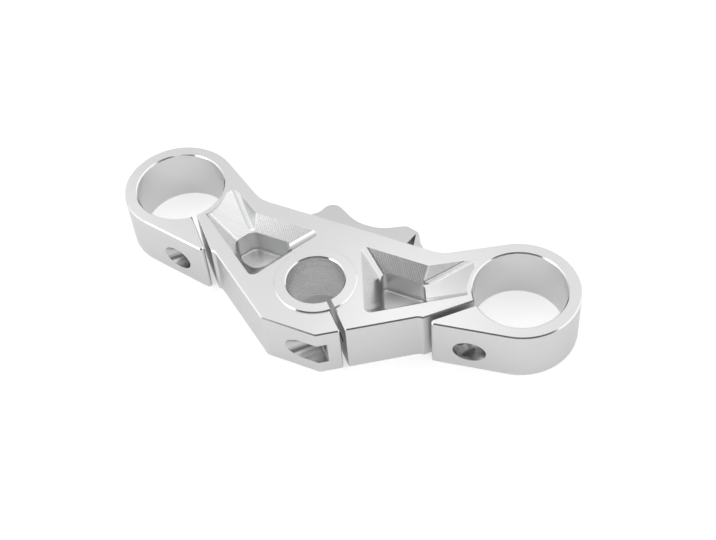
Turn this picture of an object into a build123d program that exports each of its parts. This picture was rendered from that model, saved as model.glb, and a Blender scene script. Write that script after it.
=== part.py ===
from build123d import *
import os
from math import atan, cos, degrees, radians, sin, sqrt, tan

# Upper triple clamp of a sports motorcycle, machined from one billet of aluminium.
# Frame: millimetres, +Z up. The origin is on the steering stem's axis, on the plate's underside.
# +Y points to the front of the motorcycle, where the two fork legs stand; +X is the right-hand leg
# of the drawing. The rider sits on the -Y side, where all three clamp slots open.

# Plate
plate_thickness = 34.5
edge_chamfer = 0.7
front_rim = 8.8              # land between a window and the flank
arm_rim = 8.2                # land between a window and the arm's edge
rear_rim = 11.5              # land between a window and the straight edge
rear_reach = 45.0            # from the stem's axis to the straight edge on the fork side
rear_blend = 20.0            # radius where that edge turns into the arms

# Fork clamps
fork_spacing = 217.0
fork_offset = 36.5           # from the stem's axis to the line through both fork axes
fork_bore = 53.0
fork_wall = 7.5
arm_angle = 32.0             # rise of the arm's edge from the straight edge to the fork
lug_angle = 9.5              # rise of the lug's flat front

# Stem clamp
stem_bore = 33.4
boss_diameter = 47.6
boss_height = 1.0
boss_chamfer = 0.7

# Nose and flanks
nose_reach = 35.2
nose_width = 33.0
shoulder_reach = 2.2
shoulder_length = 4.44       # short flat between a flank and the middle of the fork slot
shoulder_land = 0.1          # what the roundings at its two ends leave of it

# Clamp slots
slot_angle = 45.0
fork_slot = 3.0
fork_slot_shift = 1.1        # each fork slot stands this far inboard of the line to the fork's axis
stem_slot = 2.8
stem_slot_shift = 1.9        # the stem's slot stands this far beside its axis
lug_lip = 1.8                # rounding of the upright edges at a slot's mouth
body_lip = 1.2

# Pinch bolts, M8 with a socket head
bolt_clearance = 8.5
bolt_tapping = 6.8
head_bore = 15.4
tapped_depth = 16.0
fork_bolt_reach = 37.3       # from the fork's axis to the bolt, along the slot
fork_bolt_height = 14.8
fork_seat = 7.5              # from the middle of the slot to the head's seat
stem_bolt_reach = 30.0
stem_bolt_height = 16.8
stem_seat = 9.2

# Windows: sloping facets above a deeper pocket
stem_rim = 2.6               # land between the boss and the window
ring_land = 2.9              # land between the fork bore and the window
apex_land = 7.0              # the same at the window's outermost corner
back_slope = 51.0            # each facet's fall below the horizontal, in degrees
arm_slope = 57.0
stem_side_slope = 49.0
front_slope = 48.0
fork_side_slope = 17.3
stem_side_angle = 206.7      # direction in plan that a window's stem side faces away from it
fork_side_angle = 27.0
facet_share = 0.8378         # the facets are cut to this share of the depth where two would meet
valley_radius = 4.0
corner_radius = 5.5
kink_radius = 3.5
pocket_back = 7.0            # how far the pocket's upright walls stand in from the window's edges
pocket_stem = 10.2
pocket_fork = 28.3
pocket_front_angle = -42.0   # direction that the pocket's front wall faces, and its distance
pocket_front = 35.0
pocket_radius = 4.5
pocket_stem_radius = 3.0     # the pocket's corner between its stem side and its back
pocket_fork_radius = 5.5     # the one between its back and its fork side
pocket_floor_radius = 1.5
corner_share = 0.6           # a corner's radius is at most this share of its shorter wall

# Ledge with two horns for the ignition lock, low on the fork side
ledge_thickness = 10.5       # also the floor left under the windows' pockets
ledge_width = 80.0
ledge_chamfer = 0.5
valley_reach = 68.5          # from the stem's axis to the low middle between the horns
valley_width = 15.0
valley_blend = 25.0
ledge_drop = 8.5             # from the valley back to where the ledge's straight sides end
ledge_shoulder_angle = 45.0  # direction that the slanting shoulder above each side faces
horn_slope = 29.0
horn_side_slope = 75.0
horn_inset = 8.4             # from the ledge's side in to the horn's, horn_rise above the valley
horn_rise = 0.8
horn_roundness = 0.2863      # radius of the left horn's tip, as a share of the horn's span
horn_foot_radius = 8.0
right_horn_extra = 2.9       # the right horn and its side are this much wider
right_horn_side_slope = 62.0
right_horn_crown_angle = 75.0    # direction that the right horn's cut-off tip faces
right_horn_rise = 7.0
right_horn_radius = 4.5
lock_bolt_inset = 17.5       # from the ledge's side to the lock's bolt
lock_bolt_drop = 1.0         # from the valley back to the bolts
lock_bolt_depth = 8.0
relief_inset = 12.6          # three-cornered relief through the right horn
relief_rise = 4.0
relief_length = 14.0
relief_width = 7.0
relief_radius = 1.0

beyond = 2.0                 # how far a cutter passes the face that it leaves by
reach = 400.0                # longer than the part, for cutters without an end
way_out = 50.0               # longer than the way from a bolt head's seat to the open

fork_axis = Vector(fork_spacing / 2, fork_offset)
ring_radius = fork_bore / 2 + fork_wall


def across(angle):
    """Unit vector in plan at an angle from +X."""
    return Vector(cos(radians(angle)), sin(radians(angle)))


def meet(a, b):
    """Point where two plan lines meet. A line is the angle of its normal and its distance."""
    n, m = across(a[0]), across(b[0])
    span = n.X * m.Y - n.Y * m.X
    return Vector((a[1] * m.Y - b[1] * n.Y) / span, (b[1] * n.X - a[1] * m.X) / span)


def line_through(angle, point):
    """Plan line whose normal stands at an angle, through a point."""
    return (angle, across(angle).dot(point))


def lowered(side, depth):
    """Plan line in which a sloping window side stands at a depth below the plate's top."""
    return (side[0], side[1] - depth / tan(radians(side[2])))


def both(shape):
    """A shape and its mirror image on the other side of the motorcycle."""
    return shape + mirror(shape, about=Plane.YZ)


# Lines of the right half's outline, by the direction that each edge faces
fork_slot_foot = fork_axis + across(slot_angle + 90.0) * fork_slot_shift
fork_slot_line = line_through(slot_angle - 90.0, fork_slot_foot)
shoulder = (-90.0, shoulder_reach)
lug = (lug_angle - 90.0, across(lug_angle - 90.0).dot(fork_axis) + ring_radius)
arm = (90.0 + arm_angle, across(90.0 + arm_angle).dot(fork_axis) + ring_radius)
rear = (90.0, rear_reach)

shoulder_mouth = meet(shoulder, fork_slot_line)
shoulder_foot = shoulder_mouth - Vector(shoulder_length, 0)
lug_mouth = meet(lug, fork_slot_line)
rear_corner = meet(arm, rear)
nose_corner = Vector(nose_width / 2, -nose_reach)
flank_run = shoulder_foot - nose_corner
flank_angle = degrees(atan(flank_run.Y / flank_run.X))
flank = line_through(flank_angle - 90.0, nose_corner)
shoulder_flat = shoulder_length - fork_slot / 2 / sin(radians(slot_angle))
shoulder_flat = shoulder_flat - body_lip * tan(radians(slot_angle / 2)) - shoulder_land
shoulder_blend = shoulder_flat / tan(radians(flank_angle / 2))

# Stem slot: it runs out at -45 degrees, and its middle stands beside the stem's axis
stem_slot_run = across(-slot_angle)
stem_slot_side = across(90.0 - slot_angle)
stem_slot_line = (90.0 - slot_angle, stem_slot_shift)

# Window sides of the right half: direction, distance at the top face, fall in degrees
window_back = (90.0, rear_reach - rear_rim, back_slope)
window_arm = (arm[0], arm[1] - arm_rim, arm_slope)
window_front = (flank[0], flank[1] - front_rim, front_slope)
window_stem = (stem_side_angle, -(boss_diameter / 2 + stem_rim), stem_side_slope)


def ring_corner(line, radius):
    """Point nearest the stem where a plan line crosses a circle about the fork's axis."""
    gap = line[1] - across(line[0]).dot(fork_axis)
    foot = fork_axis + across(line[0]) * gap
    half = sqrt(radius ** 2 - gap ** 2)
    return foot + across(line[0] + 90.0) * half


window_apex = ring_corner(window_arm, fork_bore / 2 + apex_land)
window_fork = (fork_side_angle, across(fork_side_angle).dot(window_apex), fork_side_slope)
window_length = window_fork[1] - boss_diameter / 2 - stem_rim
facet_run = 1 / tan(radians(stem_side_slope)) + 1 / tan(radians(fork_side_slope))
facet_depth = facet_share * window_length / facet_run
horn_radius = horn_roundness * (ledge_width / 2 - horn_inset - valley_width / 2)


def slot_strip(start, run, width):
    """Long narrow strip in plan, from a point along a direction."""
    angle = degrees(atan(run.Y / run.X))
    middle = start + run * (reach / 2)
    return Pos(middle.X, middle.Y) * Rot(0, 0, angle) * Rectangle(reach, width)


def round_near(face, points, radius):
    """Round the corners of a plan face that lie nearest the given points."""
    for point in points:
        corner = face.vertices().sort_by_distance(Vector(point.X, point.Y, 0))[0]
        face = fillet(corner, radius)
    return face


def plate_outline():
    """Plan of the whole plate with its three slots open."""
    half = make_face(Polyline(
        (0, -nose_reach),
        nose_corner,
        shoulder_foot,
        shoulder_mouth,
        lug_mouth,
        fork_axis + across(lug[0]) * ring_radius,
        fork_axis + across(arm[0]) * ring_radius,
        rear_corner,
        (0, rear_reach),
        close=True,
    ))
    half = half + Pos(fork_axis.X, fork_axis.Y) * Circle(ring_radius)
    half = round_near(half, [shoulder_foot], shoulder_blend)
    half = round_near(half, [rear_corner], rear_blend)
    half = half - slot_strip(fork_slot_foot, across(slot_angle) * -1, fork_slot)
    body_edge = (fork_slot_line[0], fork_slot_line[1] - fork_slot / 2)
    lug_edge = (fork_slot_line[0], fork_slot_line[1] + fork_slot / 2)
    half = round_near(half, [meet(shoulder, body_edge)], body_lip)
    half = round_near(half, [meet(lug, lug_edge)], lug_lip)
    whole = both(half)
    start = stem_slot_side * stem_slot_shift
    whole = whole - slot_strip(start, stem_slot_run, stem_slot)
    lips = [meet(flank, (stem_slot_line[0], stem_slot_shift + k * stem_slot / 2)) for k in (-1, 1)]
    return round_near(whole, lips, body_lip)


def plate():
    """Plate with its upper and lower edges broken."""
    body = extrude(plate_outline(), plate_thickness)
    flats = body.faces().filter_by(Axis.Z)
    return chamfer(flats.edges(), edge_chamfer)


def horn_corners(side, side_slope, crowned):
    """Corners of one horn in plan: those at its tip, and the one at its outer foot.

    side is how far the ledge's straight side stands from the middle."""
    inner = line_through(90.0 + horn_slope, Vector(valley_width / 2, valley_reach))
    outer = line_through(90.0 - side_slope, Vector(side - horn_inset, valley_reach + horn_rise))
    foot = line_through(ledge_shoulder_angle, Vector(side, valley_reach - ledge_drop))
    tips = [meet(inner, outer)]
    if crowned:
        top = Vector(side - horn_inset - horn_radius, valley_reach + right_horn_rise)
        crown = line_through(right_horn_crown_angle, top)
        tips = [meet(inner, crown), meet(crown, outer)]
    return tips, meet(outer, foot)


def ledge():
    """Low ledge with the two horns, before its holes. Its root stands inside the plate."""
    side = ledge_width / 2
    right_side = side + right_horn_extra
    left_tips, left_foot = horn_corners(side, horn_side_slope, False)
    right_tips, right_foot = horn_corners(right_side, right_horn_side_slope, True)
    root, shoulder_level = rear_reach - rear_rim / 2, valley_reach - ledge_drop
    right = [(right_side, root), (right_side, shoulder_level)]
    right += [right_foot, *reversed(right_tips), (valley_width / 2, valley_reach)]
    left = [(-side, root), (-side, shoulder_level)]
    left += [(-p.X, p.Y) for p in (left_foot, *reversed(left_tips))] + [(-valley_width / 2, valley_reach)]
    face = make_face(Polyline(*right, *reversed(left), close=True))
    face = round_near(face, [Vector(k * valley_width / 2, valley_reach) for k in (-1, 1)], valley_blend)
    face = round_near(face, [Vector(-left_foot.X, left_foot.Y), right_foot], horn_foot_radius)
    face = round_near(face, [Vector(-left_tips[0].X, left_tips[0].Y)], horn_radius)
    face = round_near(face, right_tips, right_horn_radius)
    slab = extrude(face, ledge_thickness)
    return chamfer(slab.faces().filter_by(Axis.Z).edges(), ledge_chamfer)


def stem_boss():
    """Low turned land round the stem bore."""
    boss = Pos(0, 0, plate_thickness / 2) * Cylinder(
        boss_diameter / 2, plate_thickness / 2 + boss_height, align=(Align.CENTER, Align.CENTER, Align.MIN))
    return chamfer(boss.faces().sort_by(Axis.Z)[-1].edges(), boss_chamfer)


def bore_cutter(diameter, top):
    """Turned cutter for a bore, flared at both ends to break its rims."""
    radius, flare = diameter / 2, edge_chamfer + beyond
    profile = make_face(Polyline(
        (0, -beyond),
        (radius + flare, -beyond),
        (radius, edge_chamfer),
        (radius, top - edge_chamfer),
        (radius + flare, top + beyond),
        (0, top + beyond),
        close=True,
    ))
    return revolve(Plane.XZ * profile, Axis.Z)


def side_block(side):
    """Everything inside one sloping window side, as a large block."""
    n, fall = across(side[0]), radians(side[2])
    outward = Vector(n.X * sin(fall), n.Y * sin(fall), -cos(fall))
    foot = Vector(n.X * side[1], n.Y * side[1], plate_thickness)
    return Plane(foot, z_dir=outward) * Box(
        reach, reach, reach, align=(Align.CENTER, Align.CENTER, Align.MAX))


def valley_point(a, b):
    """Point half-way down the line where two window sides meet."""
    depth = facet_depth / 2
    p = meet(lowered(a, depth), lowered(b, depth))
    return Vector(p.X, p.Y, plate_thickness - depth)


def window_funnel():
    """Facets of the right window, as the solid that they enclose."""
    low = plate_thickness - facet_depth
    slab = Pos(0, 0, low) * Box(
        reach, reach, facet_depth + beyond, align=(Align.CENTER, Align.CENTER, Align.MIN))
    common = slab & side_block(window_stem) & side_block(window_front) & side_block(window_fork)
    funnel = (common & side_block(window_back)) + (common & side_block(window_arm))
    valleys = [
        (window_stem, window_back, valley_radius),
        (window_arm, window_fork, valley_radius),
        (window_fork, window_front, valley_radius),
        (window_front, window_stem, corner_radius),
        (window_back, window_arm, kink_radius),
    ]
    for a, b, radius in valleys:
        edge = funnel.edges().sort_by_distance(valley_point(a, b))[0]
        funnel = fillet(edge, radius)
    land = Pos(fork_axis.X, fork_axis.Y) * Cylinder(fork_bore / 2 + ring_land, 3 * plate_thickness)
    return funnel - land


def window_pocket():
    """Deeper pocket with upright walls below the facets."""
    lines = [
        (window_back[0], window_back[1] - pocket_back),
        (window_fork[0], window_fork[1] - pocket_fork),
        (pocket_front_angle, pocket_front),
        (window_stem[0], window_stem[1] - pocket_stem),
    ]
    corners = [meet(lines[k], lines[k - 1]) for k in range(4)]
    walls = [(corners[k] - corners[k - 1]).length for k in range(4)]
    radii = [pocket_stem_radius, pocket_fork_radius, pocket_radius, pocket_radius]
    face = make_face(Polyline(*corners, close=True))
    for k in range(4):
        wall = min(walls[k], walls[k - 3])
        face = round_near(face, [corners[k]], min(radii[k], corner_share * wall))
    height = plate_thickness - ledge_thickness
    prism = Pos(0, 0, ledge_thickness) * extrude(face, height)
    return fillet(prism.faces().sort_by(Axis.Z)[0].edges(), pocket_floor_radius)


def rod(start, direction, diameter, length):
    """Round cutter from a point along a direction."""
    return Plane(start, z_dir=direction) * Cylinder(
        diameter / 2, length, align=(Align.CENTER, Align.CENTER, Align.MIN))


def pinch_bolt(middle, head, seat, open_side=None):
    """Cutter of a pinch bolt: head bore, clearance hole and tapped hole.

    middle is where the bolt crosses the slot, and head points to the bolt's head."""
    cutter = rod(middle + head * seat, head, head_bore, way_out)
    cutter = cutter + rod(middle, head, bolt_clearance, seat + beyond)
    cutter = cutter + rod(middle, head * -1, bolt_tapping, tapped_depth)
    if open_side:
        place = Plane(middle + head * seat, x_dir=open_side, z_dir=head)
        cutter = cutter + place * Box(
            way_out, head_bore, way_out, align=(Align.MIN, Align.CENTER, Align.MIN))
    return cutter


def fork_bolt():
    """Cutter of the right fork clamp's bolt."""
    middle = fork_slot_foot - across(slot_angle) * fork_bolt_reach
    return pinch_bolt(Vector(middle.X, middle.Y, fork_bolt_height), across(fork_slot_line[0]), fork_seat)


def stem_bolt():
    """Cutter of the stem clamp's bolt, its head bore open to the flank."""
    middle = stem_slot_run * stem_bolt_reach + stem_slot_side * stem_slot_shift
    head = stem_slot_side * -1
    return pinch_bolt(Vector(middle.X, middle.Y, stem_bolt_height), head, stem_seat, stem_slot_run)


def lock_bolt():
    """Blind tapped hole in the right horn, from below."""
    start = Vector(ledge_width / 2 - lock_bolt_inset, valley_reach - lock_bolt_drop, -beyond)
    return rod(start, Vector(0, 0, 1), bolt_tapping, lock_bolt_depth + beyond)


def horn_relief():
    """Three-cornered relief through the right horn."""
    x = ledge_width / 2 + right_horn_extra - relief_inset
    y = valley_reach + relief_rise
    face = make_face(Polyline(
        (x, y),
        (x - relief_width / 2, y - relief_length),
        (x + relief_width / 2, y - relief_length),
        close=True,
    ))
    face = fillet(face.vertices().sort_by(Axis.Y)[:2], relief_radius)
    return Pos(0, 0, -beyond) * extrude(face, ledge_thickness + 2 * beyond)


def slot_cutter(start, run, width, top):
    """Upright cutter that reopens a slot through what was added round a bore."""
    return extrude(slot_strip(start, run, width), top + beyond)


def triple_clamp():
    """The whole clamp as one solid."""
    body = plate() + ledge() + stem_boss()
    body = body - slot_cutter(stem_slot_side * stem_slot_shift, stem_slot_run, stem_slot,
                              plate_thickness + boss_height)
    body = body - bore_cutter(stem_bore, plate_thickness + boss_height)
    body = body - both(Pos(fork_axis.X, fork_axis.Y) * bore_cutter(fork_bore, plate_thickness))
    body = body - both(window_funnel() + window_pocket())
    body = body - both(fork_bolt()) - stem_bolt()
    body = body - both(lock_bolt()) - horn_relief()
    return body


clamp = triple_clamp()
solids = clamp.solids()
print("solids", len(solids), "volume", round(clamp.volume), "box", clamp.bounding_box().size)
os.makedirs("parts", exist_ok=True)
export_step(solids[0], "parts/triple_clamp.step")
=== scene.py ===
# %% [markdown]
# # A machined triple clamp
# The upper triple clamp of a sports motorcycle holds both fork legs and the steering stem. It is
# one piece: milled and bored from a billet of aluminium, then clear anodised to a satin silver.
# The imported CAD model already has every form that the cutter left, down to the broken edges. So
# this lesson is about surfaces. Each kind of surface on the real part shows the tool that made
# it, and here each gets its own finish, with marks that run the way that tool went.

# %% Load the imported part
import math

import bmesh
import bpy
from mathutils import Matrix, Vector


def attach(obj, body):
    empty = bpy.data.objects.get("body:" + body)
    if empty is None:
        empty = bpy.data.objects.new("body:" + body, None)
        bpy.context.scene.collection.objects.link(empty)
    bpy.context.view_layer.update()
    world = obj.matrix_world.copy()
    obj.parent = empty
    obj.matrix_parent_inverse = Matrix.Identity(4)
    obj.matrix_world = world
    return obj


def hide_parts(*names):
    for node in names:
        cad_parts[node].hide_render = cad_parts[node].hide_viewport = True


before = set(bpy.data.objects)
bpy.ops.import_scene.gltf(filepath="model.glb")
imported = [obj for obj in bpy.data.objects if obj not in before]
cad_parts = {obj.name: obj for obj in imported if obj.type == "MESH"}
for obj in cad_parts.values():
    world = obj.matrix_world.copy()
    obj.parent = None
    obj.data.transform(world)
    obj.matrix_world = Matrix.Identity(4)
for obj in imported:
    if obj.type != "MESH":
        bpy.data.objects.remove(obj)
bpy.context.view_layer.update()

clamp_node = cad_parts["triple_clamp"]
print("packed mesh:", len(clamp_node.data.polygons), "triangles")

# %% [markdown]
# ## The billet's mesh
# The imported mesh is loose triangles, one patch for each surface of the CAD model, and its corner
# normals are exact. The finishes need one closed mesh with several materials, so the lesson works
# on a copy whose doubles are merged. Merging would average the normals across the sharp edges,
# which makes flat faces look swollen. So each triangle remembers which packed triangle it was,
# and takes its corner normals back from there.

# %% Merge a copy and give it back its normals
DOUBLES_WITHIN = 1e-6    # metres


def merged_copy(node, name):
    """One closed mesh from a node's loose triangles, with the node's own corner normals."""
    source = node.data
    work = bmesh.new()
    work.from_mesh(source)
    origin = work.faces.layers.int.new("packed_face")
    for face in work.faces:
        face[origin] = face.index
    bmesh.ops.remove_doubles(work, verts=work.verts, dist=DOUBLES_WITHIN)
    mesh = bpy.data.meshes.new(name)
    work.to_mesh(mesh)
    work.free()
    mesh.shade_smooth()
    packed = [item.value for item in mesh.attributes["packed_face"].data]
    places = [source.vertices[corner.vertex_index].co for corner in source.loops]
    exact = [corner.vector.copy() for corner in source.corner_normals]
    normals = []
    for face in mesh.polygons:
        loops = source.polygons[packed[face.index]].loop_indices
        for vertex in face.vertices:
            place = mesh.vertices[vertex].co
            normals.append(exact[min(loops, key=lambda loop: (places[loop] - place).length)])
    mesh.attributes.remove(mesh.attributes["packed_face"])
    mesh.normals_split_custom_set(normals)
    return mesh


billet = bpy.data.objects.new("clamp_body", merged_copy(clamp_node, "clamp_body"))
bpy.context.collection.objects.link(billet)
print("merged:", len(billet.data.vertices), "vertices,", len(billet.data.polygons), "triangles")

# %% [markdown]
# ## Which tool cut which surface
# A surface is known by where it stands and which way it faces: a bore's wall is at one distance
# from its axis, a chamfer leans at 45 degrees just under the top, a window's facet leans inside
# the window. These few sizes repeat the part's own, in millimetres.

# %% The part's own sizes
MM = 0.001
TOP = 34.5
BOSS_TOP = 35.5
LEDGE_TOP = 10.5
BREAK = 0.7
STEM_R = 16.7
FORK_R = 26.5
FORK_AXIS = Vector((108.5, 36.5, 0))
SLANT = math.sqrt(0.5)
CLOSE = 0.1              # a patch this near to a level or an end counts as lying on it

# Each bolt's axis: a point where it crosses the slot, the way its head faces, and the head's seat.
BOLTS = [
    (Vector((81.347, 10.903, 14.8)), Vector((SLANT, -SLANT, 0)), 7.5),
    (Vector((-81.347, 10.903, 14.8)), Vector((-SLANT, -SLANT, 0)), 7.5),
    (Vector((22.557, -19.87, 16.8)), Vector((-SLANT, -SLANT, 0)), 9.2),
]
LOCK_BOLTS = [Vector((22.5, 67.5, 0)), Vector((-22.5, 67.5, 0))]
LOCK_DEPTH = 8.0
HEAD_R, CLEARANCE_R, TAPPED_R = 7.7, 4.25, 3.4
HEAD_BORE_END, TAPPED_END, HALF_SLOT = 50, 16, 1
print("bolt axes:", len(BOLTS) + len(LOCK_BOLTS))

# %% [markdown]
# A hole's wall is known by three things: its patch lies beside the axis for as far as the hole
# runs, stands off from it by the hole's radius, and faces it. The last keeps out other walls that
# the same axis would only pass by.

# %% Tell the holes apart
ROUND_WITHIN = 0.2       # a flat triangle's centre lies a little inside its round wall
TOWARDS_AXIS = 0.95      # cosine between a patch's normal and the way to the axis
SQUARE_ON = 0.98         # cosine between a patch's normal and a direction that it faces
UPRIGHT, LEVEL = 0.05, 0.99
SEAT_REACH = 2.2         # the stem bolt's seat runs out to the open flank

# axis point, direction, start and end along the axis, radius
HOLES = []
for middle, way, seat in BOLTS:
    HOLES += [(middle, way, seat, HEAD_BORE_END, HEAD_R),
              (middle, way, HALF_SLOT, seat + CLOSE, CLEARANCE_R),
              (middle, way, -TAPPED_END - CLOSE, -HALF_SLOT, TAPPED_R)]
HOLES += [(foot, Vector((0, 0, 1)), -CLOSE, LOCK_DEPTH + CLOSE, TAPPED_R) for foot in LOCK_BOLTS]


def from_axis(point, start, direction):
    """How far along an axis a point lies, and the vector out to it from the axis."""
    along = (point - start).dot(direction)
    return along, point - start - direction * along


def hole_of(centre, normal):
    """The hole whose wall this patch belongs to, or None."""
    for hole in HOLES:
        start, direction, low, high, radius = hole
        along, spoke = from_axis(centre, start, direction)
        on_wall = low < along < high and abs(spoke.length - radius) < ROUND_WITHIN
        if on_wall and normal.dot(spoke) < -TOWARDS_AXIS * radius:
            return hole
    return None


def is_seat(centre, normal):
    """Whether a patch is the ring that a bolt's head bears on, or a blind hole's end."""
    for start, direction, seat in BOLTS:
        along, spoke = from_axis(centre, start, direction)
        faces_head = spoke.length < SEAT_REACH * HEAD_R and normal.dot(direction) > SQUARE_ON
        if abs(along - seat) < CLOSE and faces_head:
            return True
        if abs(along + TAPPED_END) < CLOSE and spoke.length < TAPPED_R:
            return True
    blind_end = abs(centre.z - LOCK_DEPTH) < CLOSE and normal.z < -LEVEL
    nearest = min((centre - foot).length for foot in LOCK_BOLTS)
    return blind_end and nearest < LOCK_DEPTH + TAPPED_R


# %% [markdown]
# The rest goes by place and slope. The order matters: a chamfer is asked for before the flats
# beside it, and a window before the outer walls.

# %% Tell the other surfaces apart
FINISHES = ["milled_top", "ledge_top", "underside", "broken_edge", "side_milled", "window_facet",
            "window_pocket", "pocket_floor", "fork_bore", "stem_bore", "bolt_hole", "bolt_seat",
            "sawn_slot"]
RECESS_LEVELS = (BOLTS[2][0].z - HEAD_R, BOLTS[2][0].z + HEAD_R)

# The windows lie, in plan, outside the boss, outside the fork rings, and inside the flank's rim.
BOSS_R, RING_LAND = 23.9, 1.5
WINDOW_X, WINDOW_END = (18, 90), 45
FLANK_POINT, FLANK_OUT, FLANK_RIM = Vector((16.5, -35.2, 0)), Vector((0.572, -0.820, 0)), 7.5

# The slots' middle planes, and how far their walls and broken rims stand off from them.
FORK_SLOT = Vector((107.722, 37.278, 0))
FORK_SLOT_REACH, FORK_SLOT_END = 1.7, 20
STEM_SLOT_OFFSET, STEM_SLOT_REACH = 1.9, 1.6

# What still tells a facet from the pocket's wall: it leans, well above the pocket's floor.
FACET_LEAN, FACET_FOOT, RING_REACH = 0.25, 2, 4


def fork_of(point):
    """The fork axis on this point's side."""
    return Vector((math.copysign(FORK_AXIS.x, point.x), FORK_AXIS.y, 0))


def in_window(point):
    """Whether a point lies, in plan, between the stem's boss, a fork's ring and the outer rims."""
    right = Vector((abs(point.x), point.y, 0))
    fork_gap = (Vector((point.x, point.y, 0)) - fork_of(point)).length
    past_bores = right.length > BOSS_R and fork_gap > FORK_R + RING_LAND
    in_plate = WINDOW_X[0] < right.x < WINDOW_X[1] and right.y < WINDOW_END
    return past_bores and in_plate and FLANK_OUT.dot(right - FLANK_POINT) < -FLANK_RIM


def slot_wall(centre, normal):
    """Whether an upright patch is a wall of one of the three slots."""
    side = math.copysign(1, centre.x)
    over = Vector((SLANT, -SLANT, 0))
    gap = over.dot(Vector((abs(centre.x), centre.y, 0)) - FORK_SLOT)
    faces_slot = abs(Vector((normal.x * side, normal.y, 0)).dot(over)) > SQUARE_ON
    if faces_slot and abs(gap) < FORK_SLOT_REACH and centre.y < FORK_SLOT_END:
        return True
    over_stem = Vector((SLANT, SLANT, 0))
    stem_gap = over_stem.dot(centre) - STEM_SLOT_OFFSET
    return abs(normal.dot(over_stem)) > SQUARE_ON and abs(stem_gap) < STEM_SLOT_REACH


def flat_finish(centre, up):
    """Finish of a level patch."""
    z = centre.z
    if any(abs(z - level) < CLOSE for level in RECESS_LEVELS) and centre.y < 0:
        return "bolt_hole"
    if in_window(centre) and z < TOP - BREAK and up > 0:
        return "pocket_floor"
    if up < 0:
        return "underside"
    return "ledge_top" if z < LEDGE_TOP + CLOSE else "milled_top"


def finish_of(centre, normal):
    """Name of the finish for a patch of the surface, from its centre in mm and its normal."""
    z, up = centre.z, normal.z
    if hole_of(centre, normal):
        return "bolt_hole"
    if is_seat(centre, normal):
        return "bolt_seat"
    stem_gap = math.hypot(centre.x, centre.y)
    fork_gap = (Vector((centre.x, centre.y, 0)) - fork_of(centre)).length
    if abs(up) < UPRIGHT and abs(stem_gap - STEM_R) < ROUND_WITHIN:
        return "stem_bore"
    if abs(up) < UPRIGHT and abs(fork_gap - FORK_R) < ROUND_WITHIN:
        return "fork_bore"
    near_rim = min(abs(z - level) for level in (TOP, BOSS_TOP, LEDGE_TOP, 0)) < BREAK
    if abs(abs(up) - SLANT) < UPRIGHT and near_rim and not (in_window(centre) and z > BREAK):
        return "broken_edge"
    if abs(up) > LEVEL:
        return flat_finish(centre, up)
    if abs(up) < UPRIGHT and slot_wall(centre, normal):
        return "sawn_slot"
    if in_window(centre) and z > LEDGE_TOP:
        leans = up > FACET_LEAN and z > LEDGE_TOP + FACET_FOOT
        return "window_facet" if leans or fork_gap < FORK_R + RING_REACH else "window_pocket"
    return "side_milled"


counts = {name: 0 for name in FINISHES}
for face in billet.data.polygons:
    kind = finish_of(face.center / MM, face.normal)
    counts[kind] += 1
    face.material_index = FINISHES.index(kind)
print("patches:", counts)

# %% [markdown]
# ## Paths for the tool marks
# Milling marks follow the cutter, so a pattern laid on plain X, Y and Z would cross the slopes at
# odd angles. Instead the mesh gets a UV map in millimetres. U runs along the cutter's path and V
# across it: round a bore, level along a wall, and level along a facet, with V down the slope.

# %% Lay the tool path map
NO_SLOPE = 0.1           # a patch whose normal leans less than this counts as level


def round_path(way, middle, side, up, radius):
    """U and V round a bore. The patch's middle decides the turn, so that no patch is torn apart."""
    turn = math.atan2(middle.dot(up), middle.dot(side))
    step = math.atan2(way.dot(up), way.dot(side)) - turn
    step = (step + math.pi) % (2 * math.pi) - math.pi
    return (turn + step) * radius, way.dot(side.cross(up))


def path_of(point, centre, normal, kind):
    """U and V of one corner in millimetres, along and across the tool's path."""
    hole = hole_of(centre, normal) if kind == "bolt_hole" else None
    if hole:
        start, direction, _, _, radius = hole
        side = direction.orthogonal().normalized()
        return round_path(point - start, centre - start, side, direction.cross(side), radius)
    if kind in ("fork_bore", "stem_bore"):
        stem = kind == "stem_bore"
        axis, radius = (Vector((0, 0, 0)), STEM_R) if stem else (fork_of(centre), FORK_R)
        return round_path(point - axis, centre - axis, Vector((1, 0, 0)), Vector((0, 1, 0)), radius)
    flat = Vector((normal.x, normal.y, 0))
    if flat.length < NO_SLOPE:
        return point.x, point.y
    flat.normalize()
    level = Vector((-flat.y, flat.x, 0))
    down = normal.cross(level)
    return point.dot(level), point.dot(down)


tool_path = billet.data.uv_layers.new(name="tool_path")
for face in billet.data.polygons:
    centre, kind = face.center / MM, FINISHES[face.material_index]
    for loop in face.loop_indices:
        place = billet.data.vertices[billet.data.loops[loop].vertex_index].co / MM
        tool_path.data[loop].uv = path_of(place, centre, face.normal, kind)
print("tool path map laid on", len(tool_path.data), "corners")

# %% [markdown]
# ## Small helpers for nodes
# Every finish is built from nodes. These helpers only make a node, set its sockets and join it to
# others, so that each recipe below reads in the order in which it works.

# %% Node helpers
def fill(tree, slot, value):
    """Join a socket to another, or give it a plain value."""
    if hasattr(value, "links"):
        tree.links.new(value, slot)
    else:
        slot.default_value = value


def add(tree, kind, **values):
    """A node with its settings and sockets filled in. A socket value is given as in_NAME."""
    made = tree.nodes.new(kind)
    for key, value in values.items():
        if key.startswith("in_"):
            label = key[3:].replace("_", " ")
            fill(tree, made.inputs[int(label) if label.isdigit() else label], value)
        else:
            setattr(made, key, value)
    return made


def maths(tree, operation, *values):
    """Output of a Math node, from sockets or plain numbers."""
    made = add(tree, "ShaderNodeMath", operation=operation)
    for slot, value in zip(made.inputs, values):
        fill(tree, slot, value)
    return made.outputs[0]


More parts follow.
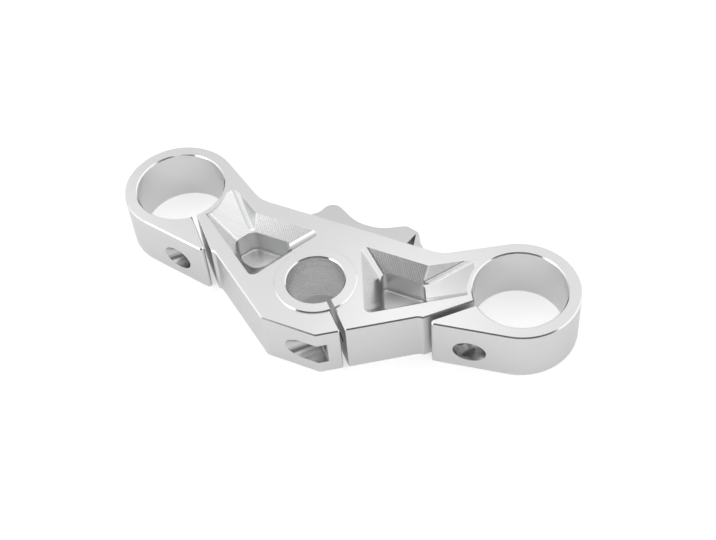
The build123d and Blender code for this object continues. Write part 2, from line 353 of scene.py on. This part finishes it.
def spread(tree, value, low, high, new_low=0.0, new_high=1.0):
    """Output of a Map Range node with clamping."""
    made = add(tree, "ShaderNodeMapRange", in_From_Min=low, in_From_Max=high, in_To_Min=new_low,
               in_To_Max=new_high, in_Value=value)
    return made.outputs["Result"]


def shader_group(name, inputs, outputs):
    """An empty shader node group with named sockets."""
    tree = bpy.data.node_groups.new(name, "ShaderNodeTree")
    for label, kind, value in inputs:
        slot = tree.interface.new_socket(label, in_out="INPUT", socket_type="NodeSocket" + kind)
        if value is not None:
            slot.default_value = value
    for label in outputs:
        tree.interface.new_socket(label, in_out="OUTPUT", socket_type="NodeSocketFloat")
    given, result = tree.nodes.new("NodeGroupInput"), tree.nodes.new("NodeGroupOutput")
    return tree, given.outputs, result.inputs


# %% [markdown]
# ## Satin grain
# Before anodising, the part is blasted with fine beads and etched, which leaves a close, even
# grain. It is far finer than a pixel, so what is seen of it is a soft sheen with faint clouds in
# it. The group gives a height for the bump, and a tone that varies slowly over the surface.

# %% Group: satin grain
CLOUD_LOW, CLOUD_HIGH = 0.3, 0.7    # the part of the noise's range that is stretched to 0 and 1


def build_satin_grain():
    """The grain's height and its slow tone. Sizes are in millimetres."""
    tree, given, result = shader_group(
        "satin_grain",
        [("Position", "Vector", None), ("Grain Size", "Float", 0.35),
         ("Cloud Size", "Float", 18.0)],
        ["Height", "Tone"])
    in_mm = add(tree, "ShaderNodeVectorMath", operation="SCALE", in_Scale=1 / MM,
                in_0=given["Position"]).outputs[0]
    fine = add(tree, "ShaderNodeTexNoise", in_Detail=2.0, in_Vector=in_mm,
               in_Scale=maths(tree, "DIVIDE", 1.0, given["Grain Size"]))
    clouds = add(tree, "ShaderNodeTexNoise", in_Detail=3.0, in_Vector=in_mm,
                 in_Scale=maths(tree, "DIVIDE", 1.0, given["Cloud Size"]))
    tree.links.new(fine.outputs["Fac"], result["Height"])
    tree.links.new(spread(tree, clouds.outputs["Fac"], CLOUD_LOW, CLOUD_HIGH), result["Tone"])
    return tree


satin_grain = build_satin_grain()
print("group:", satin_grain.name)

# %% [markdown]
# ## Tool marks
# A cutter that steps sideways after every pass leaves shallow scallops with a crest between them.
# Across the path the height follows a folded sine, which has those sharp crests. No two passes cut
# quite alike, so each gets a tone of its own, and a slow noise bends the lines a little.

# %% Group: tool marks
BEND_SCALE = 0.12        # the lines bend about once in 8 mm
STREAK_SCALE = 0.15      # and a pass changes tone about once in 7 mm
PASS_JUMP = 3.7          # how far apart in the noise two passes read it


def build_tool_marks():
    """Scallops across a path, and a tone for each pass. Step and Wander are in millimetres."""
    tree, given, result = shader_group(
        "tool_marks",
        [("Path", "Vector", None), ("Step", "Float", 0.5), ("Wander", "Float", 0.2),
         ("Turn", "Float", 0.0)],
        ["Height", "Tone"])
    turned = add(tree, "ShaderNodeVectorRotate", rotation_type="Z_AXIS", in_Vector=given["Path"],
                 in_Angle=given["Turn"])
    bends = add(tree, "ShaderNodeTexNoise", in_Scale=BEND_SCALE, in_Detail=1.0,
                in_Vector=turned.outputs[0])
    parts = add(tree, "ShaderNodeSeparateXYZ", in_0=turned.outputs[0])
    bend = maths(tree, "MULTIPLY", bends.outputs["Fac"], given["Wander"])
    across = maths(tree, "ADD", parts.outputs["Y"], bend)
    passes = maths(tree, "DIVIDE", across, given["Step"])
    height = maths(tree, "ABSOLUTE", maths(tree, "SINE", maths(tree, "MULTIPLY", passes, math.pi)))
    number = maths(tree, "FLOOR", passes)
    own = add(tree, "ShaderNodeTexWhiteNoise", noise_dimensions="1D", in_W=number)
    along = add(tree, "ShaderNodeCombineXYZ",
                in_X=maths(tree, "MULTIPLY", parts.outputs["X"], STREAK_SCALE),
                in_Y=maths(tree, "MULTIPLY", number, PASS_JUMP)).outputs[0]
    streak = add(tree, "ShaderNodeTexNoise", in_Scale=1.0, in_Detail=2.0, in_Vector=along)
    both = maths(tree, "ADD", own.outputs["Value"], streak.outputs["Fac"])
    tree.links.new(height, result["Height"])
    tree.links.new(maths(tree, "MULTIPLY", both, 0.5), result["Tone"])
    return tree


tool_marks = build_tool_marks()
print("group:", tool_marks.name)

# %% [markdown]
# ## Anodised aluminium
# All finishes are the same metal, so one function builds them. It takes how far the cutter steps,
# how deep its marks are, how they turn against the path, and how rough the surface is. The tint
# is painted shade: it darkens walls, recesses and holes that get less light than the top, and vary
# says how much the tone and the roughness change over it. The shader itself stays in the material.
# A Bevel node rounds the very edges by a tenth of a millimetre or two, as blasting does, so that
# sharp edges catch a thin line of light.

# %% One recipe for all finishes
SILVER = (0.935, 0.937, 0.941)
DULL = (0.76, 0.762, 0.768)
GRAIN_SIZE, GRAIN_DEPTH = 0.35, 0.004            # millimetres
CLOUD_SHARE, PASS_SHARE = 0.35, 0.65
ROUGHNESS_SWING = 0.1
COLOUR_A, COLOUR_B, COLOUR_OUT = 6, 7, 2         # the Mix node's sockets for colours


def anodised(name, roughness, step, depth, turn=0.0, wander=0.2, shade_tint=1.0, vary=0.3, edge=0.15):
    """A material of clear anodised aluminium with the marks of one tool. Sizes are in mm."""
    material = bpy.data.materials.new(name)
    material.use_nodes = True
    tree = material.node_tree
    shader = tree.nodes["Principled BSDF"]
    shader.inputs["Metallic"].default_value = 1.0
    place = add(tree, "ShaderNodeTexCoord").outputs["Object"]
    path = add(tree, "ShaderNodeUVMap", uv_map="tool_path").outputs["UV"]
    satin = add(tree, "ShaderNodeGroup", node_tree=satin_grain, in_Position=place,
                in_Grain_Size=GRAIN_SIZE).outputs
    marks = add(tree, "ShaderNodeGroup", node_tree=tool_marks, in_Path=path, in_Step=step,
                in_Turn=math.radians(turn), in_Wander=wander).outputs
    mottle = maths(tree, "ADD", maths(tree, "MULTIPLY", satin["Tone"], CLOUD_SHARE),
                   maths(tree, "MULTIPLY", marks["Tone"], PASS_SHARE))
    colour = add(tree, "ShaderNodeMix", data_type="RGBA")
    tree.links.new(maths(tree, "MULTIPLY", mottle, vary), colour.inputs["Factor"])
    # painted shade: the tint darkens both colours of a surface that gets less light
    for socket, tone in ((COLOUR_A, SILVER), (COLOUR_B, DULL)):
        colour.inputs[socket].default_value = [part * shade_tint for part in tone] + [1.0]
    tree.links.new(colour.outputs[COLOUR_OUT], shader.inputs["Base Color"])
    swing = ROUGHNESS_SWING * vary
    rough = spread(tree, mottle, 0.0, 1.0, roughness - swing, roughness + swing)
    tree.links.new(rough, shader.inputs["Roughness"])
    soft = add(tree, "ShaderNodeBevel", samples=4, in_Radius=edge * MM)
    lined = add(tree, "ShaderNodeBump", in_Distance=depth * MM, in_Height=marks["Height"],
                in_Normal=soft.outputs["Normal"])
    grained = add(tree, "ShaderNodeBump", in_Distance=GRAIN_DEPTH * MM, in_Height=satin["Height"],
                  in_Normal=lined.outputs["Normal"])
    tree.links.new(grained.outputs["Normal"], shader.inputs["Normal"])
    return material


# %% [markdown]
# ## The finishes
# The top and the flats were cut with a wide face mill and blasted: hardly a line is left. The
# broken edges were cut afterwards with a small chamfer tool and shine more. The outer walls keep
# hardly a band. In the windows a cutter ran across the facets in fine steps, which shows as faint
# lines. The bores were turned or bored, so their marks are close rings, and the slots were sawn.

# %% Make the finishes
# The tint in these lines is painted shade: the ledge, walls, window, bores, holes, seats and slots
# are darkened where less light reaches them.
finishes = {made.name: made for made in (
    anodised("milled_top", 0.32, step=2.4, depth=0.0004, vary=0.08),
    anodised("ledge_top", 0.34, step=1.2, depth=0.0006, shade_tint=0.86, vary=0.10),
    anodised("underside", 0.34, step=2.4, depth=0.0006, vary=0.15),
    anodised("broken_edge", 0.15, step=0.3, depth=0.0004, vary=0.1, edge=0.08),
    anodised("side_milled", 0.28, step=1.6, depth=0.0005, shade_tint=0.855, vary=0.08),
    anodised("window_facet", 0.23, step=1.3, depth=0.007, shade_tint=0.88, turn=60, vary=0.5),
    anodised("window_pocket", 0.28, step=0.8, depth=0.001, shade_tint=0.72, vary=0.1),
    anodised("pocket_floor", 0.48, step=1.1, depth=0.001, vary=0.2),
    anodised("fork_bore", 0.16, step=0.5, depth=0.001, shade_tint=0.97, vary=0.2, wander=0.0),
    anodised("stem_bore", 0.28, step=1.1, depth=0.012, shade_tint=0.86, vary=0.6, wander=0.0),
    anodised("bolt_hole", 0.24, step=0.5, depth=0.006, shade_tint=0.74, vary=0.5, wander=0.0),
    anodised("bolt_seat", 0.26, step=0.6, depth=0.004, shade_tint=0.82, vary=0.4),
    anodised("sawn_slot", 0.42, step=0.35, depth=0.006, shade_tint=0.88, vary=0.5),
)}
for name in FINISHES:
    billet.data.materials.append(finishes[name])
print("finishes:", ", ".join(FINISHES))

# %% [markdown]
# ## Put it in the frame
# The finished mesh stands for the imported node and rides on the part's only body.

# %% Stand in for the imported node
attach(billet, "root")
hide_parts("triple_clamp")
print("clamp_body stands for triple_clamp")

# %% [markdown]
# ## Camera
# The photograph was taken from above and to the right of the nose. The camera's place, aim and
# roll come from a solution of the same view, and the lens from its field of view.

# %% Place the camera
EYE = Vector((237.2, -388.0, 579.2)) * MM
AIM = Vector((12.1, 28.85, 17.0)) * MM
ROLL = math.radians(-5.135)
LENS, SENSOR = 63.37, 36.0
lens_data = bpy.data.cameras.new("photo_view")
lens_data.lens, lens_data.sensor_width = LENS, SENSOR
camera = bpy.data.objects.new("photo_view", lens_data)
bpy.context.collection.objects.link(camera)
aimed = (AIM - EYE).to_track_quat("-Z", "Y").to_matrix() @ Matrix.Rotation(ROLL, 3, "Z")
camera.matrix_world = Matrix.Translation(EYE) @ aimed.to_4x4()
bpy.context.scene.camera = camera
print("camera distance:", round((AIM - EYE).length, 3), "m")

# %% [markdown]
# ## Floor
# The part lies on white paper. The floor is a plain diffuse white, which takes the part's soft
# shadow. To the camera it also glows a little, so that the open paper reaches the white of a page
# and the shadow stays faint. In reflections it glows less, or the walls that mirror it would burn
# out. Right under the stem's bore the camera gets no glow, because the shade down there is deep.

# %% Floor
PAPER = 0.80
GLOW_SEEN = 0.50
GLOW_MIRRORED = 0.20
FLOOR_REACH = 3.0        # metres from the middle to each side
SHADE_FADES = 1.5        # in stem bore radii: from the bore's edge out to here the glow returns


def build_floor():
    """A square sheet of white paper under the part."""
    mesh = bpy.data.meshes.new("floor")
    far = FLOOR_REACH
    corners = [(-far, -far, 0), (far, -far, 0), (far, far, 0), (-far, far, 0)]
    mesh.from_pydata(corners, [], [(0, 1, 2, 3)])
    floor = bpy.data.objects.new("floor", mesh)
    bpy.context.collection.objects.link(floor)
    paper = bpy.data.materials.new("white_paper")
    paper.use_nodes = True
    tree = paper.node_tree
    shader = tree.nodes["Principled BSDF"]
    shader.inputs["Base Color"].default_value = (PAPER, PAPER, PAPER, 1)
    shader.inputs["Roughness"].default_value = 1.0
    shader.inputs["Specular IOR Level"].default_value = 0.0
    rays = add(tree, "ShaderNodeLightPath").outputs
    mirrored = maths(tree, "MAXIMUM", rays["Is Glossy Ray"], rays["Is Transmission Ray"])
    place = add(tree, "ShaderNodeTexCoord").outputs["Object"]
    from_stem = add(tree, "ShaderNodeVectorMath", operation="LENGTH", in_0=place).outputs["Value"]
    open_paper = spread(tree, from_stem, STEM_R * MM, SHADE_FADES * STEM_R * MM)
    open_glow = maths(tree, "MULTIPLY", open_paper, GLOW_SEEN)
    seen = maths(tree, "MULTIPLY", rays["Is Camera Ray"], open_glow)
    glow = maths(tree, "ADD", seen, maths(tree, "MULTIPLY", mirrored, GLOW_MIRRORED))
    tree.links.new(glow, shader.inputs["Emission Strength"])
    shader.inputs["Emission Color"].default_value = (1, 1, 1, 1)
    mesh.materials.append(paper)
    return floor


print("laid:", build_floor().name)

# %% [markdown]
# ## Light
# Polished and satin metal shows its surroundings, so the light is designed as a room. It is a
# photographer's tent: white cloth above, white walls to the left and to the right, a dimmer back,
# and on the camera's side a long low opening, which is dark. That opening is what draws the dark
# lines along the front chamfers. Each wall is a soft patch round one direction, and the opening is
# a row of patches that overlap. Away from the patches the cloth brightens from the floor upwards,
# and straight above it is held back a little, or the level top would burn out.

# %% World
WALLS = [
    # compass angle, height angle, full within and gone beyond in degrees, brightness
    (226, 18, 39, 72, 1.07),     # left wall
    (33, 29, 40, 80, 1.06),      # right wall
    (135, 19, 20, 65, 0.62),     # dimmer back
    (251, 58, 10, 18, 0.02),     # gap in the cloth over the lens
    (0, 90, 8, 32, 0.78),        # thinner light straight above
    (258, 26, 7, 13, 0.28),      # opening, its far end
    (330, 35, 15, 24, 0.16),     # opening, its near end
]

# The opening's middle is a row of patches that rises for its first part and then runs level.
OPENING_FROM, OPENING_TO, OPENING_STEP = 252, 323, 8
OPENING_HEIGHT, OPENING_RISE, RISES_FOR = 34, 0.13, 30
OPENING_FULL, OPENING_GONE, OPENING_LIGHT = 6.0, 9.5, 0.10
OPENING = []
for compass in range(OPENING_FROM, OPENING_TO, OPENING_STEP):
    height = OPENING_HEIGHT + min(compass - OPENING_FROM, RISES_FOR) * OPENING_RISE
    OPENING.append((compass, height, OPENING_FULL, OPENING_GONE, OPENING_LIGHT))

# The cloth's brightness at the floor and high up, and the sine of the height angle it is full from.
ROOM_LOW, ROOM_HIGH, HIGH_FROM = 0.38, 1.34, 0.8


def wall_direction(compass, height):
    """Unit vector towards a wall, from two angles in degrees."""
    a, h = math.radians(compass), math.radians(height)
    return (math.cos(a) * math.cos(h), math.sin(a) * math.cos(h), math.sin(h))


def build_world():
    """The tent as the world's light. The camera itself sees plain white."""
    world = bpy.data.worlds.new("tent")
    world.use_nodes = True
    tree = world.node_tree
    plain = tree.nodes["Background"]
    way = add(tree, "ShaderNodeTexCoord").outputs["Generated"]
    height = add(tree, "ShaderNodeSeparateXYZ", in_0=way).outputs["Z"]
    level = spread(tree, height, 0.0, HIGH_FROM, ROOM_LOW, ROOM_HIGH)
    for compass, tilt, full, gone, brightness in WALLS + OPENING:
        towards = add(tree, "ShaderNodeVectorMath", operation="DOT_PRODUCT", in_0=way,
                      in_1=wall_direction(compass, tilt)).outputs["Value"]
        share = add(tree, "ShaderNodeMapRange", interpolation_type="SMOOTHSTEP", in_Value=towards,
                    in_From_Min=math.cos(math.radians(gone)),
                    in_From_Max=math.cos(math.radians(full)))
        level = add(tree, "ShaderNodeMix", data_type="FLOAT", in_Factor=share.outputs["Result"],
                    in_A=level, in_B=brightness).outputs[0]
    camera_ray = add(tree, "ShaderNodeLightPath").outputs["Is Camera Ray"]
    shown = add(tree, "ShaderNodeMix", data_type="FLOAT", in_Factor=camera_ray, in_A=level,
                in_B=1.0).outputs[0]
    plain.inputs["Color"].default_value = (1, 1, 1, 1)
    tree.links.new(shown, plain.inputs["Strength"])
    bpy.context.scene.world = world


build_world()
print("patches in the tent:", len(WALLS) + len(OPENING))

# %% [markdown]
# Four weak soft boxes stand near the part. Because they are near, their light changes along it.
# The nearest hangs over the fork side, where the nose mirrors it, so the nose comes out brighter.

# %% Lamps
def soft_box(name, place, aim_at, size, watts):
    """A square area lamp that faces a point. Lengths are in metres."""
    lamp = bpy.data.lights.new(name, "AREA")
    lamp.shape, lamp.size, lamp.energy = "SQUARE", size, watts
    box = bpy.data.objects.new(name, lamp)
    bpy.context.collection.objects.link(box)
    box.location = place
    box.rotation_euler = (Vector(aim_at) - Vector(place)).to_track_quat("-Z", "Y").to_euler()


STEM, NOSE = (0, 0, 0), (0.03, -0.04, 0.03)
LAMPS = [
    # name, where it stands, what it faces, width, watts
    ("left_box", (-0.6, 0.2, 0.7), STEM, 0.3, 0.47),
    ("top_box", (0.0, -0.1, 0.9), STEM, 0.3, 0.12),
    ("front_left_box", (-0.45, -0.5, 0.5), STEM, 0.3, 0.43),
    ("near_box", (-0.03, 0.19, 0.34), NOSE, 0.12, 0.020),
]
for lamp in LAMPS:
    soft_box(*lamp)
print("lamps:", len(LAMPS))

# %% [markdown]
# ## How the picture is written
# The plain transform keeps every tone as the materials give it.

# %% Plain tones
bpy.context.scene.view_settings.view_transform = "Standard"
print("view transform:", bpy.context.scene.view_settings.view_transform)
